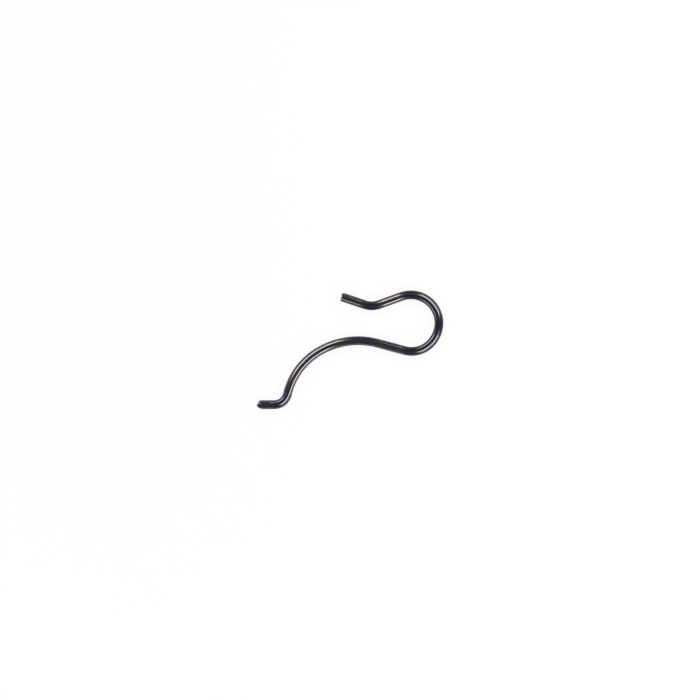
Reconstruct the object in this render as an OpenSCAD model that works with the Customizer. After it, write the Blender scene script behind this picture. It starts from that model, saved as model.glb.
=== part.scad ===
// Yoke spring for a wrist watch: one length of blued round steel wire, bent in one plane.
// The loop goes round a post of the movement. The short anchor arm is held by the movement,
// and the long arched arm presses its foot against the yoke.
// It lies flat on z = 0, as it rests on a bench, with the loop's centre above the origin.
// The foot always points along -X, whatever the bends are set to. Sizes are in millimetres.

/* [Wire] */
// Diameter of the wire
wire_d = 0.32; // [0.24:0.01:0.4]
// How much the wire's radius shrinks where it is bent
bend_thinning = 0.002; // [0.001:0.0005:0.005]
// Straight wire that the bending pins leave between two bends
bend_gap = 0.04; // [0.03:0.01:0.2]

/* [Loop] */
// Radius of the loop, to the middle of the wire
loop_r = 1.02; // [0.8:0.01:1.3]
// Angle that the loop turns through, from the anchor arm's side
loop_angle = 142; // [120:1:160]
// Radius of the tighter bend that ends the loop, to the middle of the wire
loop_end_r = 0.96; // [0.8:0.01:1.2]
// Angle that the tighter bend turns through
loop_end_angle = 73; // [60:1:80]

/* [Anchor arm] */
// Straight wire between the loop and the elbow
neck_len = 0.84; // [0.5:0.01:1.2]
// Radius of the elbow, to the middle of the wire
elbow_r = 0.79; // [0.5:0.01:1.2]
// Angle that the elbow turns back through
elbow_angle = 38.7; // [20:0.1:50]
// Straight wire from the elbow to the cut end
anchor_len = 0.91; // [0.5:0.01:1.4]

/* [Anchor's cut end] */
// Size of the corner that the shears rolled over
rolled_corner = 0.055; // [0.02:0.005:0.08]
// Depth of the nick across the cut
nick_depth = 0.045; // [0.02:0.005:0.08]
// Width of the nick
nick_w = 0.055; // [0.03:0.005:0.08]
// How far the nick lies from the wire's middle, towards the rolled corner
nick_offset = 0.03; // [0.01:0.005:0.04]
// How far the shears' break slopes back from the nick to the burr
break_depth = 0.03; // [0.01:0.005:0.05]
// Width of the burr that the shears drew out along the edge
burr_w = 0.04; // [0.02:0.005:0.06]
// Length of the burr, out from the break
burr_len = 0.02; // [0.01:0.005:0.03]

/* [Working arm] */
// Straight wire between the loop and the arch
shank_len = 1.01; // [0.6:0.01:1.5]
// Radius of the arch beside the shank, to the middle of the wire
arch_r = 2.75; // [2:0.05:3.5]
// Angle that the arch turns through at that radius
arch_angle = 42; // [30:1:50]
// Radius of the arch beside the foot, to the middle of the wire
arch_end_r = 2.44; // [1.8:0.02:3.2]
// Angle that the arch turns through at that radius
arch_end_angle = 49; // [35:1:60]
// Radius of the bend into the foot, to the middle of the wire
foot_bend_r = 0.49; // [0.35:0.01:0.8]
// Angle of the bend into the foot
foot_bend_angle = 76; // [60:1:90]
// Straight wire from that bend to the foot's nipped end
foot_len = 0.64; // [0.5:0.01:1]

/* [Foot's nipped end] */
// Angle between the nipped flat and the wire
nip_angle = 58; // [50:1:70]
// How far the end's edge lies from the wire's middle
nip_offset = 0.026; // [0.01:0.002:0.05]
// Radius that the nippers left on the other side
nip_round_r = 0.32; // [0.26:0.01:0.38]
// How far that rounding's crest stands over the wire's side, so that they meet in a faint edge
nip_round_over = 0.01; // [0.005:0.005:0.03]

/* [Hidden] */
$fn = 72;
wire_r = wire_d / 2;
bend_lap = 0.01;
loop_end_polar = loop_end_angle + foot_bend_angle - arch_angle - arch_end_angle - 90;
loop_start_polar = loop_end_polar + loop_angle;

// A straight length of wire along +X, and what follows it
module straight(length) {
    rotate([0, 90, 0])
        cylinder(h = length, r = wire_r);
    translate([length, 0, 0])
        children();
}

// Wire bent round the origin from one polar angle to another, lapping into the straights
module bent(radius, from, to) {
    lap_angle = bend_lap / radius * 180 / PI;
    rotate_extrude(angle = to - from + 2 * lap_angle, start = from - lap_angle)
        translate([radius, 0])
            circle(r = wire_r - bend_thinning);
}

// A bend out of +X, to the left for a positive angle, and what follows it
module bend(radius, angle) {
    left = sign(angle);
    translate([0, left * radius, 0]) {
        if (left > 0)
            bent(radius, -90, angle - 90);
        else
            bent(radius, angle + 90, 90);
        rotate([0, 0, angle])
            translate([0, -left * radius, 0])
                children();
    }
}

// Straight wire with its far end cut to an outline that is drawn round that end
module cut_straight(length) {
    intersection() {
        straight(length);
        translate([length, 0, -wire_d])
            linear_extrude(2 * wire_d)
                children();
    }
}

// The anchor's end: a rolled corner, a nick, a sloping break and a burr
module sheared_outline() {
    behind = -anchor_len - wire_d;
    nick_y = -nick_offset;
    burr_y = wire_r - burr_w;
    polygon([
        [behind, -wire_d],
        [-rolled_corner - wire_r, -wire_d],
        [0, rolled_corner - wire_r],
        [0, nick_y - nick_w / 2],
        [-nick_depth, nick_y],
        [-break_depth / 2, nick_y + nick_w / 2],
        [-break_depth, burr_y],
        [burr_len - break_depth, wire_r],
        [burr_len - break_depth, wire_d],
        [behind, wire_d]
    ]);
}

// The foot's end: a flat on one side and a rounding on the other, which meet in an edge
module nipped_outline() {
    behind = foot_len + wire_d;
    round_y = wire_r + nip_round_over - nip_round_r;
    round_x = -sqrt(pow(nip_round_r, 2) - pow(nip_offset - round_y, 2));
    difference() {
        union() {
            translate([-behind, -wire_d])
                square([behind + round_x, 2 * wire_d]);
            translate([round_x, round_y])
                circle(r = nip_round_r);
        }
        translate([0, nip_offset])
            rotate(nip_angle - 180)
                square([2 * wire_d, 2 * wire_d]);
    }
}

module anchor_arm()
    straight(neck_len)
        bend(elbow_r, -elbow_angle)
            cut_straight(anchor_len)
                sheared_outline();

module working_arm()
    straight(bend_gap)
        bend(loop_end_r, -loop_end_angle)
            straight(shank_len)
                bend(arch_r, arch_angle)
                    straight(bend_gap)
                        bend(arch_end_r, arch_end_angle)
                            straight(bend_gap)
                                bend(foot_bend_r, -foot_bend_angle)
                                    cut_straight(foot_len)
                                        nipped_outline();

module spring_wire()
    color("#2b2833")
        translate([0, 0, wire_r]) {
            bent(loop_r, loop_end_polar, loop_start_polar);
            rotate(loop_start_polar)
                translate([loop_r, 0, 0])
                    rotate(90)
                        anchor_arm();
            rotate(loop_end_polar)
                translate([loop_r, 0, 0])
                    rotate(-90)
                        working_arm();
        }

spring_wire();
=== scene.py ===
# The looks of a watch's yoke spring: one bent length of blued round spring wire, on a white table.

import math

import bmesh
import bpy
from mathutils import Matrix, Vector


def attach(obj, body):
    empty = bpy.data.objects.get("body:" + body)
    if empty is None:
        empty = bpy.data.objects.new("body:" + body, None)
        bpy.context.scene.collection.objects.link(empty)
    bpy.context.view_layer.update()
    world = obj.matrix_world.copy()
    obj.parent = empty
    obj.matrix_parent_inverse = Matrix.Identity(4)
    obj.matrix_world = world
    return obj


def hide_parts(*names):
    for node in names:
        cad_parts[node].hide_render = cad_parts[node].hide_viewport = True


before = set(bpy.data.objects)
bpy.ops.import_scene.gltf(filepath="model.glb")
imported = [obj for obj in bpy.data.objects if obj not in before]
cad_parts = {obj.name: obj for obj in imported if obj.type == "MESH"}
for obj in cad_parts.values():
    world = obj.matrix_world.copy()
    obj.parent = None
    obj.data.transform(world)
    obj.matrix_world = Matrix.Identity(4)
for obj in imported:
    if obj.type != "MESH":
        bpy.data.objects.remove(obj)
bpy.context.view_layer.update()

MM = 0.001

# The wire and its bends, in millimetres and degrees, as in the part's source
WIRE_D = 0.32
WIRE_R = WIRE_D / 2
BEND_THINNING = 0.002
BEND_GAP = 0.04
LOOP_R = 1.02
LOOP_ANGLE = 142
LOOP_END_R = 0.96
LOOP_END_ANGLE = 73
NECK_LEN = 0.84
ELBOW_R = 0.79
ELBOW_ANGLE = 38.7
ANCHOR_LEN = 0.91
SHANK_LEN = 1.01
ARCH_R = 2.75
ARCH_ANGLE = 42
ARCH_END_R = 2.44
ARCH_END_ANGLE = 49
FOOT_BEND_R = 0.49
FOOT_BEND_ANGLE = 76
FOOT_LEN = 0.64
LOOP_END_POLAR = LOOP_END_ANGLE + FOOT_BEND_ANGLE - ARCH_ANGLE - ARCH_END_ANGLE - 90
LOOP_START_POLAR = LOOP_END_POLAR + LOOP_ANGLE

# The two cut ends, in millimetres and degrees, as in the part's source
ROLLED_CORNER = 0.055
NICK_DEPTH = 0.045
NICK_W = 0.055
NICK_OFFSET = 0.03
BREAK_DEPTH = 0.03
BURR_W = 0.04
BURR_LEN = 0.02
NIP_ANGLE = 58
NIP_OFFSET = 0.026
NIP_ROUND_R = 0.32
NIP_ROUND_OVER = 0.01

# How a bend swells the wire's squeezed side: from a strain on, at a rate, and at most by so much
ROUND_STRAIN = 0.05
SWELL_RATE = 1.8
SWELL_MOST = 0.25

# How widely the ends' edges and corners were worn round by tumbling, in millimetres
SHEARED_EDGE_R = 0.012
ROLLED_EDGE_R = 0.042
NIPPED_EDGE_R = 0.022
NIPPED_CROWN_R = 0.08
CORNER_BLUR = 0.012

# Sizes of the surface's patterns, in millimetres. Lines from a drawing die and tears on a cut face
# are really some thousandths wide, too fine to show at 0.036 mm to the pixel, so they are drawn as
# coarse as they need to show. The clouds in the oxide have their real size.
LINE_WIDTH = 0.0625
LINE_LENGTH = 1.7
CLOUD_SIZE = 0.9
TEAR_WIDTH = 0.04
TEAR_LENGTH = 0.16

# How finely the mesh follows the wire: points round it, millimetres between its rings, rings round
# the edge of a cut, columns down a cut face, and the steps of the mean that softens a cut's corners
SIDES = 120
RING_SPACING = 0.03
EDGE_RINGS = 6
FACE_COLUMNS = 16
CORNER_STEPS = 4

# Over how many rings a bend eases in and out, and how far from a cut, in millimetres, rings lean
BEND_EASE = 7
CUT_ZONE = 0.28


def linear(hex_colour):
    """An sRGB hex colour as the linear RGBA that Blender's sockets take."""
    channels = [int(hex_colour[i:i + 2], 16) / 255 for i in (1, 3, 5)]
    return [c / 12.92 if c <= 0.04045 else ((c + 0.055) / 1.055) ** 2.4 for c in channels] + [1]


def add_node(tree, kind, settings=None, values=None, links=None):
    """Adds a node with its settings, its inputs' values and the outputs that feed its inputs."""
    node = tree.nodes.new(kind)
    for name, value in (settings or {}).items():
        setattr(node, name, value)
    for name, value in (values or {}).items():
        node.inputs[name].default_value = value
    for name, source in (links or {}).items():
        tree.links.new(source, node.inputs[name])
    return node


# The wire's path

def unit(heading):
    """The direction of a heading in degrees, in the plane that the spring is bent in."""
    return Vector((math.cos(math.radians(heading)), math.sin(math.radians(heading))))


def route(place, heading, steps):
    """Stations (place, heading) along straights, given as lengths, and bends, given as
    (radius, angle), where a positive angle turns left."""
    stations = [(place, heading)]
    for step in steps:
        place, heading = stations[-1]
        if isinstance(step, tuple):
            radius, angle = step
            left = math.copysign(1, angle)
            centre = place + left * radius * unit(heading + 90)
            count = math.ceil(radius * math.radians(abs(angle)) / RING_SPACING)
            for i in range(1, count + 1):
                turned = heading + angle * i / count
                stations.append((centre - left * radius * unit(turned + 90), turned))
        else:
            count = math.ceil(step / RING_SPACING)
            for i in range(1, count + 1):
                stations.append((place + step * i / count * unit(heading), heading))
    return stations


def wire_path():
    """Stations (place, heading, length so far) from the anchor arm's tip to the foot's tip."""
    loop_start = LOOP_R * unit(LOOP_START_POLAR)
    anchor_arm = route(loop_start, LOOP_START_POLAR + 90, [
        NECK_LEN,
        (ELBOW_R, -ELBOW_ANGLE),
        ANCHOR_LEN,
    ])
    loop_and_working_arm = route(loop_start, LOOP_START_POLAR - 90, [
        (LOOP_R, -LOOP_ANGLE),
        BEND_GAP,
        (LOOP_END_R, -LOOP_END_ANGLE),
        SHANK_LEN,
        (ARCH_R, ARCH_ANGLE),
        BEND_GAP,
        (ARCH_END_R, ARCH_END_ANGLE),
        BEND_GAP,
        (FOOT_BEND_R, -FOOT_BEND_ANGLE),
        FOOT_LEN,
    ])
    to_loop = [(place, heading - 180) for place, heading in reversed(anchor_arm)]
    path = []
    length = 0
    for place, heading in to_loop + loop_and_working_arm[1:]:
        if path:
            length += (place - path[-1][0]).length
        path.append((place, heading, length))
    return path


def curvatures(path):
    """How sharply the path turns left at each station, in 1 / mm, eased in and out of each bend."""
    turns = [0]
    for (_, heading, length), (_, following, further) in zip(path, path[1:]):
        turns.append(math.radians(following - heading) / (further - length))
    eased = []
    for i in range(len(path)):
        near = turns[max(0, i - BEND_EASE):i + BEND_EASE + 1]
        eased.append(sum(near) / len(near))
    return eased


def wire_section(angle, curvature):
    """A point of the wire's outline, (across, up). Where the wire is bent, its stretched side is
    thinner and its squeezed side thicker, so that its crest moves towards the inside of the bend.
    The whole wire is also a hair thinner there, most in bends as tight as the loop or tighter."""
    strain = abs(curvature) * WIRE_R
    swell = math.copysign(min(SWELL_MOST, SWELL_RATE * max(0, strain - ROUND_STRAIN)), curvature)
    radius = WIRE_R - BEND_THINNING * min(1, abs(curvature) * LOOP_R)
    thickness = (1 + swell * math.cos(angle)) / (1 + swell ** 2 / 2)
    return radius * math.cos(angle), radius * math.sin(angle) * thickness


# How far each cut end reaches, by the distance to the left of the wire's middle, looking out of it

def sheared_reach(across):
    """The anchor arm's end: a rolled corner, a nick, a sloping break and a burr."""
    outline = [
        (-WIRE_R - ROLLED_CORNER, -WIRE_D),
        (0, ROLLED_CORNER - WIRE_R),
        (0, -NICK_OFFSET - NICK_W / 2),
        (-NICK_DEPTH, -NICK_OFFSET),
        (-BREAK_DEPTH / 2, -NICK_OFFSET + NICK_W / 2),
        (-BREAK_DEPTH, WIRE_R - BURR_W),
        (BURR_LEN - BREAK_DEPTH, WIRE_R),
        (BURR_LEN - BREAK_DEPTH, WIRE_D),
    ]
    for (x0, y0), (x1, y1) in zip(outline, outline[1:]):
        if across <= y1:
            return x0 + (x1 - x0) * (across - y0) / (y1 - y0)
    return outline[-1][0]


def nipped_reach(across):
    """The foot's end: a flat on one side and a rounding on the other, which meet in an edge."""
    if across < NIP_OFFSET:
        return (across - NIP_OFFSET) / math.tan(math.radians(NIP_ANGLE))
    round_y = WIRE_R + NIP_ROUND_OVER - NIP_ROUND_R
    round_x = -math.sqrt(NIP_ROUND_R ** 2 - (NIP_OFFSET - round_y) ** 2)
    return round_x + math.sqrt(NIP_ROUND_R ** 2 - (min(across, WIRE_R) - round_y) ** 2)


def sheared_edge(across):
    """How widely the anchor arm's edge was worn round, which is most at the rolled corner."""
    return SHEARED_EDGE_R + (ROLLED_EDGE_R - SHEARED_EDGE_R) * max(0, -across / WIRE_R)


def nipped_edge(across):
    """How widely the foot's edge was worn round, which is most at the middle of its nipped flat."""
    flat_middle = (NIP_OFFSET - WIRE_R) / 2
    flat_half = (NIP_OFFSET + WIRE_R) / 2
    near_middle = max(0, 1 - ((across - flat_middle) / flat_half) ** 2)
    return NIPPED_EDGE_R + (NIPPED_CROWN_R - NIPPED_EDGE_R) * near_middle


def softened(reach, across):
    """The reach with its corners taken off, as the mean over a short distance across."""
    offsets = [CORNER_BLUR * i / CORNER_STEPS for i in range(-CORNER_STEPS, CORNER_STEPS + 1)]
    return sum(reach(across + offset) for offset in offsets) / len(offsets)


# The wire's mesh, in millimetres, where each vertex keeps its place in the wire before it was bent

def add_vertex(bm, place, heading, across, up, along, drawn):
    """A vertex at a distance to the left of a heading and above the wire's middle."""
    spot = place + across * unit(heading + 90)
    vertex = bm.verts.new((spot.x, spot.y, WIRE_R + up))
    vertex[drawn] = Vector((across, up, along))
    return vertex


def join_rings(bm, ring_a, ring_b):
    """The band of faces between two rings of the wire."""
    for i in range(SIDES):
        j = (i + 1) % SIDES
        bm.faces.new((ring_a[i], ring_a[j], ring_b[j], ring_b[i]))


def close_end(bm, tip, outward, length, direction, reach, edge, side_ring, drawn):
    """Rounds the edge of a cut end, fills its face with rows across the wire and returns that face.
    direction is 1 where the path runs out of this end and -1 where it starts here."""
    def cut_vertex(radius, angle, inset):
        across = radius * math.cos(angle)
        x = softened(reach, direction * across) - inset
        return add_vertex(bm, tip + x * unit(outward), outward if direction > 0 else outward + 180,
                          across, radius * math.sin(angle), length + direction * x, drawn)

    ring = side_ring
    for step in range(1, EDGE_RINGS + 1):
        turn = math.pi / 2 * step / EDGE_RINGS
        inner = []
        for i in range(SIDES):
            angle = 2 * math.pi * i / SIDES
            edge_r = edge(direction * WIRE_R * math.cos(angle))
            radius = WIRE_R - edge_r * (1 - math.cos(turn))
            inner.append(cut_vertex(radius, angle, edge_r * (1 - math.sin(turn))))
        if direction > 0:
            join_rings(bm, ring, inner)
        else:
            join_rings(bm, inner, ring)
        ring = inner

    half = SIDES // 2
    rows = [[ring[0]]]
    for i in range(1, half):
        top, bottom = ring[i], ring[SIDES - i]
        row = [top]
        for column in range(1, FACE_COLUMNS):
            share = (1 - math.cos(math.pi * column / FACE_COLUMNS)) / 2
            vertex = bm.verts.new(top.co.lerp(bottom.co, share))
            vertex[drawn] = top[drawn].lerp(bottom[drawn], share)
            row.append(vertex)
        rows.append(row + [bottom])
    rows.append([ring[half]])
    faces = []
    for row, following in zip(rows, rows[1:]):
        for column in range(FACE_COLUMNS):
            corners = [
                row[min(column, len(row) - 1)],
                row[min(column + 1, len(row) - 1)],
                following[min(column + 1, len(following) - 1)],
                following[min(column, len(following) - 1)],
            ]
            corners = [c for n, c in enumerate(corners) if c not in corners[:n]]
            if direction > 0:
                corners.reverse()
            faces.append(bm.faces.new(corners))
    return faces


def bent_wire():
    """The whole spring as one smooth mesh, with its sheared and nipped ends. Near each cut the
    rings lean, so that the last of them follows the cut's own shape."""
    bm = bmesh.new()
    drawn = bm.verts.layers.float_vector.new("drawn")
    stretched = bm.verts.layers.float.new("stretched")
    path = wire_path()
    total = path[-1][2]
    ends = [
        (0, -1, sheared_reach, sheared_edge),
        (total, 1, nipped_reach, nipped_edge),
    ]
    rings = []
    for (place, heading, length), curvature in zip(path, curvatures(path)):
        ring = []
        for i in range(SIDES):
            across, up = wire_section(2 * math.pi * i / SIDES, curvature)
            pull = 0
            for end, direction, reach, edge in ends:
                nearness = 1 - abs(end - length) / CUT_ZONE
                if nearness > 0:
                    side_end = softened(reach, direction * across) - edge(direction * across)
                    pull += direction * nearness * side_end
            vertex = add_vertex(bm, place + pull * unit(heading), heading,
                                across, up, length + pull, drawn)
            vertex[stretched] = abs(curvature) * WIRE_R
            ring.append(vertex)
        rings.append(ring)
    for ring_a, ring_b in zip(rings, rings[1:]):
        join_rings(bm, ring_a, ring_b)
    tip, heading, _ = path[0]
    cut_faces = close_end(bm, tip, heading + 180, 0, -1, sheared_reach, sheared_edge, rings[0], drawn)
    tip, heading, _ = path[-1]
    cut_faces += close_end(bm, tip, heading, total, 1, nipped_reach, nipped_edge, rings[-1], drawn)
    for face in bm.faces:
        face.smooth = True
    for face in cut_faces:
        face.material_index = 1
    bmesh.ops.recalc_face_normals(bm, faces=bm.faces)
    bmesh.ops.scale(bm, vec=(MM, MM, MM), verts=bm.verts)
    mesh = bpy.data.meshes.new("yoke_spring")
    bm.to_mesh(mesh)
    bm.free()
    return mesh


# Materials

def blued_drawn_wire():
    """Spring steel wire, drawn through a die and then heated until its skin of oxide turned blue.
    The eye gets a near-black mirror with fine lines along the wire. It is navy where the oxide
    grew thicker and brown where it stayed thin, and darker and a little duller in the bends,
    where the bending crazed it."""
    material = bpy.data.materials.new("blued_drawn_wire")
    material.use_nodes = True
    tree = material.node_tree
    tree.nodes.clear()
    place = add_node(tree, "ShaderNodeAttribute", {"attribute_name": "drawn"})
    along = add_node(tree, "ShaderNodeVectorMath", {"operation": "MULTIPLY"},
                     {1: (1 / LINE_WIDTH, 1 / LINE_WIDTH, 1 / LINE_LENGTH)},
                     {0: place.outputs["Vector"]})
    lines = add_node(tree, "ShaderNodeTexNoise", {}, {"Scale": 1.0, "Detail": 3.0, "Roughness": 0.6},
                     {"Vector": along.outputs["Vector"]})
    clouds = add_node(tree, "ShaderNodeTexNoise", {},
                      {"Scale": 1 / CLOUD_SIZE, "Detail": 3.0, "Roughness": 0.55},
                      {"Vector": place.outputs["Vector"]})
    thicker = add_node(tree, "ShaderNodeMapRange", {},
                       {"From Min": 0.35, "From Max": 0.65, "To Min": 0.0, "To Max": 1.0},
                       {"Value": clouds.outputs["Fac"]})
    skin = add_node(tree, "ShaderNodeMix", {"data_type": "RGBA"},
                    {"A": linear("#79716e"), "B": linear("#6c6d7f")},
                    {"Factor": thicker.outputs["Result"]})
    gloss = add_node(tree, "ShaderNodeMapRange", {},
                     {"From Min": 0.3, "From Max": 0.7, "To Min": 0.11, "To Max": 0.16},
                     {"Value": lines.outputs["Fac"]})
    strain = add_node(tree, "ShaderNodeAttribute", {"attribute_name": "stretched"})
    crazed = add_node(tree, "ShaderNodeMapRange", {},
                      {"From Min": 0.06, "From Max": 0.16, "To Min": 0.0, "To Max": 1.0},
                      {"Value": strain.outputs["Fac"]})
    tint = add_node(tree, "ShaderNodeMix", {"data_type": "RGBA"}, {"B": linear("#5d5a67")},
                    {"Factor": crazed.outputs["Result"], "A": skin.outputs["Result"]})
    rough = add_node(tree, "ShaderNodeMath", {"operation": "MULTIPLY_ADD"}, {1: 0.05},
                     {0: crazed.outputs["Result"], 2: gloss.outputs["Result"]})
    bump = add_node(tree, "ShaderNodeBump", {}, {"Strength": 1.0, "Distance": 1.3e-7},
                    {"Height": lines.outputs["Fac"]})
    steel = add_node(tree, "ShaderNodeBsdfPrincipled", {},
                     {"Metallic": 1.0, "Specular Tint": linear("#18181c")},
                     {"Base Color": tint.outputs["Result"], "Roughness": rough.outputs["Value"],
                      "Normal": bump.outputs["Normal"]})
    add_node(tree, "ShaderNodeOutputMaterial", links={"Surface": steel.outputs["BSDF"]})
    return material


def blued_cut_steel():
    """The same steel where the shears and the nippers parted it, blued with the rest.
    The eye gets a duller face with torn lines across it."""
    material = bpy.data.materials.new("blued_cut_steel")
    material.use_nodes = True
    tree = material.node_tree
    tree.nodes.clear()
    place = add_node(tree, "ShaderNodeAttribute", {"attribute_name": "drawn"})
    across = add_node(tree, "ShaderNodeVectorMath", {"operation": "MULTIPLY"},
                      {1: (1 / TEAR_LENGTH, 1 / TEAR_WIDTH, 1 / TEAR_LENGTH)},
                      {0: place.outputs["Vector"]})
    tears = add_node(tree, "ShaderNodeTexNoise", {}, {"Scale": 1.0, "Detail": 3.0, "Roughness": 0.65},
                     {"Vector": across.outputs["Vector"]})
    tint = add_node(tree, "ShaderNodeMix", {"data_type": "RGBA"},
                    {"A": linear("#6d6a76"), "B": linear("#858188")}, {"Factor": tears.outputs["Fac"]})
    gloss = add_node(tree, "ShaderNodeMapRange", {},
                     {"From Min": 0.3, "From Max": 0.7, "To Min": 0.2, "To Max": 0.36},
                     {"Value": tears.outputs["Fac"]})
    bump = add_node(tree, "ShaderNodeBump", {}, {"Strength": 1.0, "Distance": 3e-6},
                    {"Height": tears.outputs["Fac"]})
    steel = add_node(tree, "ShaderNodeBsdfPrincipled", {},
                     {"Metallic": 1.0, "Specular Tint": linear("#18181c")},
                     {"Base Color": tint.outputs["Result"], "Roughness": gloss.outputs["Result"],
                      "Normal": bump.outputs["Normal"]})
    add_node(tree, "ShaderNodeOutputMaterial", links={"Surface": steel.outputs["BSDF"]})
    return material


def white_table():
    """A matt white table top that stays white in the picture and in the wire, under its soft shadow."""
    material = bpy.data.materials.new("white_table")
    material.use_nodes = True
    tree = material.node_tree
    tree.nodes.clear()
    matt = add_node(tree, "ShaderNodeBsdfDiffuse", {}, {"Color": linear("#ededed")})
    white = add_node(tree, "ShaderNodeEmission", {}, {"Color": linear("#ffffff"), "Strength": 1.0})
    path = add_node(tree, "ShaderNodeLightPath")
    seen = add_node(tree, "ShaderNodeMath", {"operation": "MAXIMUM"}, {},
                    {0: path.outputs["Is Camera Ray"], 1: path.outputs["Is Glossy Ray"]})
    shown = add_node(tree, "ShaderNodeMath", {"operation": "MAXIMUM"}, {},
                     {0: seen.outputs["Value"], 1: path.outputs["Is Transmission Ray"]})
    share = add_node(tree, "ShaderNodeMath", {"operation": "MULTIPLY"}, {1: 0.9},
                     {0: shown.outputs["Value"]})
    mixed = add_node(tree, "ShaderNodeMixShader", {}, {},
                     {0: share.outputs["Value"], 1: matt.outputs["BSDF"], 2: white.outputs["Emission"]})
    add_node(tree, "ShaderNodeOutputMaterial", links={"Surface": mixed.outputs["Shader"]})
    return material


# The spring

spring_mesh = bent_wire()
spring_mesh.materials.append(blued_drawn_wire())
spring_mesh.materials.append(blued_cut_steel())
spring = bpy.data.objects.new("yoke_spring", spring_mesh)
bpy.context.scene.collection.objects.link(spring)
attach(spring, "root")
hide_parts("spring_wire")


# The table

TABLE_HALF = 2.0


def table_top():
    """A flat sheet under the spring, so wide that no view shows its edge."""
    mesh = bpy.data.meshes.new("table")
    corners = [(TABLE_HALF * x, TABLE_HALF * y, 0) for x, y in ((-1, -1), (1, -1), (1, 1), (-1, 1))]
    mesh.from_pydata(corners, [], [(0, 1, 2, 3)])
    mesh.materials.append(white_table())
    table = bpy.data.objects.new("table", mesh)
    bpy.context.scene.collection.objects.link(table)


table_top()


# Where the picture looks, and how far up the camera is

PICTURE_WIDTH = 25.305 * MM
PICTURE_MIDDLE = Vector((-2.196 * MM, -0.974 * MM, 0))
CAMERA_HEIGHT = 0.5


# The lamps and the room

def soft_box(name, far, compass, height, spread, depth, strength):
    """A flat lamp so far from the spring, at a compass angle and a height above the table, both
    in degrees as seen from the spring, as are its spread round the spring and its depth.
    strength is its brightness, of which 1 is white. The camera doesn't see the lamp itself,
    which would hide the spring in views from the side."""
    facing = Vector((
        math.cos(math.radians(height)) * math.cos(math.radians(compass)),
        math.cos(math.radians(height)) * math.sin(math.radians(compass)),
        math.sin(math.radians(height)),
    ))
    lamp = bpy.data.lights.new(name, "AREA")
    lamp.shape = "RECTANGLE"
    lamp.size = 2 * far * math.cos(math.radians(height)) * math.tan(math.radians(spread / 2))
    lamp.size_y = 2 * far * math.tan(math.radians(depth / 2))
    lamp.energy = strength * math.pi * lamp.size * lamp.size_y
    lamp.color = linear("#ffffed")[:3]
    box = bpy.data.objects.new(name, lamp)
    box.location = PICTURE_MIDDLE + far * facing
    box.visible_camera = False
    box.rotation_mode = "QUATERNION"
    box.rotation_quaternion = facing.to_track_quat("Z", "Y")
    bpy.context.scene.collection.objects.link(box)


soft_box("soft_box_right_back", 26 * MM, 42.3, 33, 51.5, 26, 4.9)
soft_box("soft_box_right_front", 32 * MM, -43.5, 34, 53, 26, 4.8)
soft_box("soft_box_left_back", 70 * MM, 127.6, 38, 49.8, 26, 4.8)
soft_box("soft_box_left_front", 36 * MM, -139.5, 34, 60, 26, 3.2)

world = bpy.data.worlds.new("dim_room")
world.use_nodes = True
room = world.node_tree.nodes["Background"]
room.inputs["Color"].default_value = linear("#e8e3ff")
room.inputs["Strength"].default_value = 0.2
bpy.context.scene.world = world


# The camera, straight above, on a long lens

eye = bpy.data.cameras.new("camera")
eye.sensor_width = 36
eye.lens = eye.sensor_width * (CAMERA_HEIGHT - WIRE_R * MM) / PICTURE_WIDTH
eye.clip_start = 0.01
eye.clip_end = 10
camera = bpy.data.objects.new("camera", eye)
camera.location = PICTURE_MIDDLE + Vector((0, 0, CAMERA_HEIGHT))
bpy.context.scene.collection.objects.link(camera)
bpy.context.scene.camera = camera

bpy.context.scene.view_settings.view_transform = "Standard"
